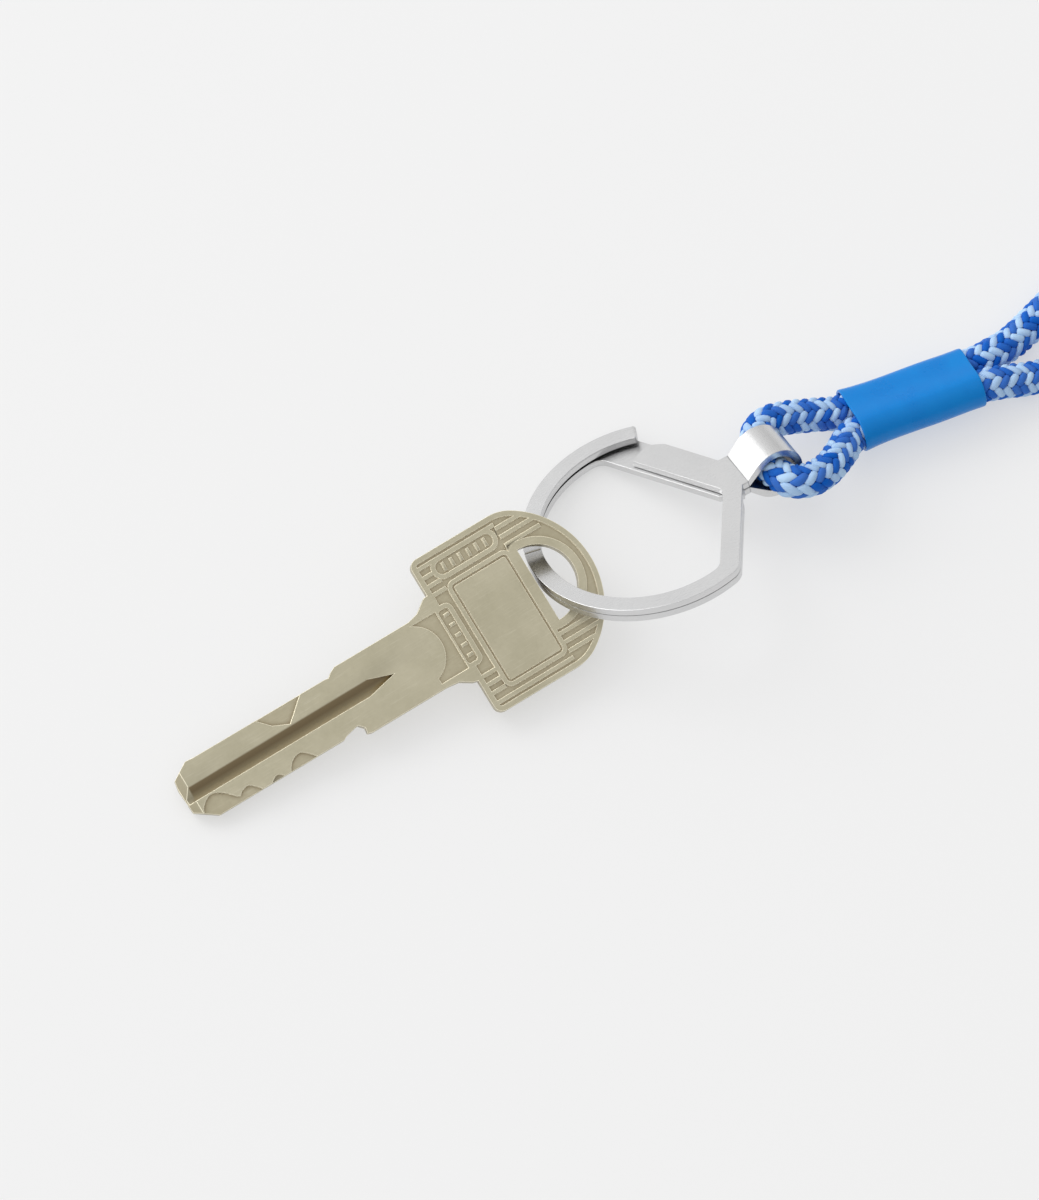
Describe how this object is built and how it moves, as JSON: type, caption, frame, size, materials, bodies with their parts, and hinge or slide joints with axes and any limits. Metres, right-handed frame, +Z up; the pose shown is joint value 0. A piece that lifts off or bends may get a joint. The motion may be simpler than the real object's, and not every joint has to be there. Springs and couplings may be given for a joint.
{
  "type": "carabiner keyring",
  "caption": "Folded flat-steel split keyring with a sprung arm and bail, a flat key on it, and a braided wrist lanyard joined by a sleeve.",
  "frame": {"origin": "on the surface it lies on, under the middle of the ring and key together", "axes": "+Z up from that surface, +X from the key's tip along the neck towards the lanyard"},
  "size_m": [0.2172, 0.0436, 0.0157],
  "materials": {
    "ring_steel": "finely brushed flat stainless steel with softened edges",
    "bail_steel": "the same strip, bright where it is bent round the cord",
    "key_metal": "nickel silver, satin and lightly worn",
    "cord_braid": "braided polyester in dark and light blue",
    "sleeve": "satin shrink tube",
    "whipping_thread": "tight wound thread"
  },
  "bodies": {
    "ring": {"lower_leaf": "ring_steel", "upper_leaf": "ring_steel", "bail": "bail_steel"},
    "arm": {"spring_arm": "ring_steel"},
    "key": {"key": "key_metal"},
    "lanyard": {"bail_cord": "cord_braid", "wrist_cord": "cord_braid", "cord_sleeve": "sleeve", "cord_whipping": "whipping_thread"}
  },
  "joints": [
    {"name": "key_slides_round", "type": "hinge", "parent": "ring", "child": "key", "pos_m": [0.02538, -0.00001, 0.00784], "axis": [-0.0225, 0.3939, 0.9189], "range_deg": [-16, 70]},
    {"name": "arm_flex", "type": "hinge", "parent": "ring", "child": "arm", "pos_m": [0.01149, 0.00783, 0.00534], "axis": [0.861, -0.4596, 0.2181], "range_deg": [0, 12], "stiffness_Nm_per_rad": 0.05},
    {"name": "lanyard_swing", "type": "hinge", "parent": "ring", "child": "lanyard", "pos_m": [0.04367, -0.00009, 0.0081], "axis": [0.0096, 0.9191, -0.3938], "range_deg": [-110, 110]}
  ]
}
